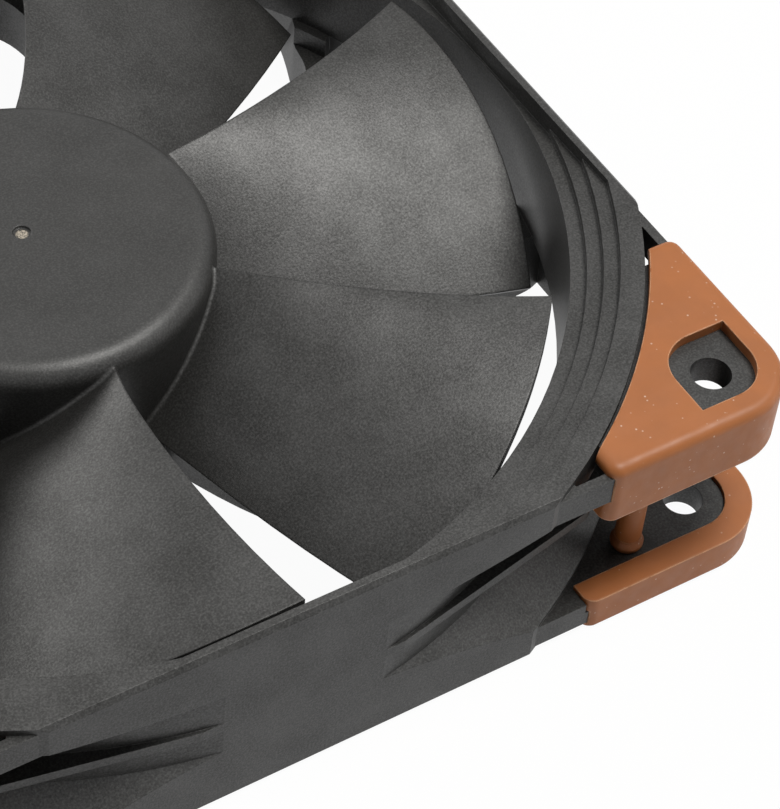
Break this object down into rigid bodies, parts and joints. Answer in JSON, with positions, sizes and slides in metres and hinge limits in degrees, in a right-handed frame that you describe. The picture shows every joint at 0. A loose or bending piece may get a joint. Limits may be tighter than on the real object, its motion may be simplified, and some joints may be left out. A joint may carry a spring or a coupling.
{
  "type": "computer case fan",
  "caption": "Square computer case fan: round duct in a flanged frame, swept axial impeller on a hub motor, guide vanes and clip-on silicone corner pads.",
  "frame": {"origin": "on the spin axis, in the plane of the exhaust-side pads that the fan lies on", "axes": "+Z along the spin axis towards the intake side, X and Y along the sides of the square frame"},
  "size_m": [0.12, 0.12, 0.0255],
  "materials": {
    "frame_plastic": "fine satin texture, dark charcoal",
    "blade_plastic": "fine satin texture, dark charcoal",
    "pad_silicone": "soft satin silicone, warm brown",
    "yoke_steel": "drawn steel",
    "ferrite": "dull sintered ferrite",
    "brass": "turned brass",
    "shaft_steel": "ground steel",
    "nylon": "natural nylon",
    "sintered_bronze": "oily sintered bronze",
    "lamination_steel": "stamped laminations",
    "insulator_plastic": "moulded former, ivory",
    "copper": "enamelled copper wire",
    "pin_metal": "tinned pins",
    "board": "green solder mask",
    "chip_plastic": "moulded package",
    "capacitor_ceramic": "ceramic chip",
    "label_film": "plain dark film, no print"
  },
  "bodies": {
    "housing": {"frame": "frame_plastic", "bearing_tube": "brass", "bearing_sleeve": "sintered_bronze", "dust_ring": "nylon", "thrust_plate": "nylon", "stabiliser_magnet": "ferrite", "stator_core": "lamination_steel", "insulator_upper": "insulator_plastic", "insulator_lower": "insulator_plastic", "coil_1": "copper", "coil_2": "copper", "coil_3": "copper", "coil_4": "copper", "winding_pins": "pin_metal", "circuit_board": "board", "driver_chip": "chip_plastic", "hall_sensor": "chip_plastic", "capacitor_a": "capacitor_ceramic", "capacitor_b": "capacitor_ceramic", "base_label": "label_film", "pad_upper_front_right": "pad_silicone", "pad_lower_front_right": "pad_silicone", "pad_upper_rear_right": "pad_silicone", "pad_lower_rear_right": "pad_silicone", "pad_upper_rear_left": "pad_silicone", "pad_lower_rear_left": "pad_silicone", "pad_upper_front_left": "pad_silicone", "pad_lower_front_left": "pad_silicone"},
    "rotor": {"impeller": "blade_plastic", "rotor_yoke": "yoke_steel", "rotor_magnet": "ferrite", "shaft_bush": "brass", "shaft": "shaft_steel", "retaining_ring": "nylon"}
  },
  "joints": [
    {"name": "rotor_spin", "type": "hinge", "parent": "housing", "child": "rotor", "pos_m": [0, 0, 0], "axis": [0, 0, 1], "continuous": true}
  ]
}
